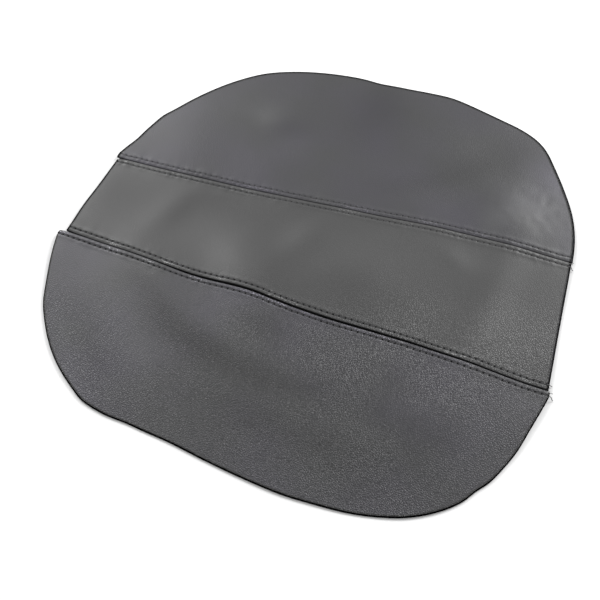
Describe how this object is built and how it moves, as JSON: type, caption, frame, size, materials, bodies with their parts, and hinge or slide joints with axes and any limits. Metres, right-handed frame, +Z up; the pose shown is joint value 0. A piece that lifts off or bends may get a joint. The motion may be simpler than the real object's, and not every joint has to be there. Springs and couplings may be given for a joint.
{
  "type": "sewn leatherette cover skin",
  "caption": "Limp, flat cover skin of grained leatherette: a tapered middle panel between two rounded side panels, joined by open topstitched seams that fold.",
  "frame": {"origin": "centre of the outline, on the table under the cover", "axes": "+Z up, out of the good side; +X along the middle panel towards its wide end; +Y to the far side panel"},
  "size_m": [0.317, 0.3194, 0.0026],
  "materials": {
    "skin": "grained polyurethane leatherette, charcoal, semi-matte",
    "backing": "knitted backing cloth, dark grey, matte",
    "topstitch_thread": "bonded polyester thread, charcoal, slight sheen",
    "joining_thread": "thin bonded polyester thread, black"
  },
  "bodies": {
    "middle_panel": {"middle_panel_face": "skin", "middle_panel_backing": "backing", "far_inner_topstitch_needle_thread": "topstitch_thread", "far_inner_topstitch_bobbin_thread": "topstitch_thread", "near_inner_topstitch_needle_thread": "topstitch_thread", "near_inner_topstitch_bobbin_thread": "topstitch_thread", "far_seam_needle_thread": "joining_thread", "near_seam_needle_thread": "joining_thread"},
    "far_panel": {"far_panel_face": "skin", "far_panel_backing": "backing", "far_outer_topstitch_needle_thread": "topstitch_thread", "far_outer_topstitch_bobbin_thread": "topstitch_thread", "far_seam_bobbin_thread": "joining_thread"},
    "near_panel": {"near_panel_face": "skin", "near_panel_backing": "backing", "near_outer_topstitch_needle_thread": "topstitch_thread", "near_outer_topstitch_bobbin_thread": "topstitch_thread", "near_seam_bobbin_thread": "joining_thread"}
  },
  "joints": [
    {"name": "far_panel_fold", "type": "hinge", "parent": "middle_panel", "child": "far_panel", "pos_m": [0.0007, 0.0374, 0.0016], "axis": [0.9991, 0.0422, 0], "range_deg": [0, 90]},
    {"name": "near_panel_fold", "type": "hinge", "parent": "middle_panel", "child": "near_panel", "pos_m": [0.0007, -0.0441, 0.0016], "axis": [-0.9991, 0.0422, 0], "range_deg": [0, 90]}
  ]
}
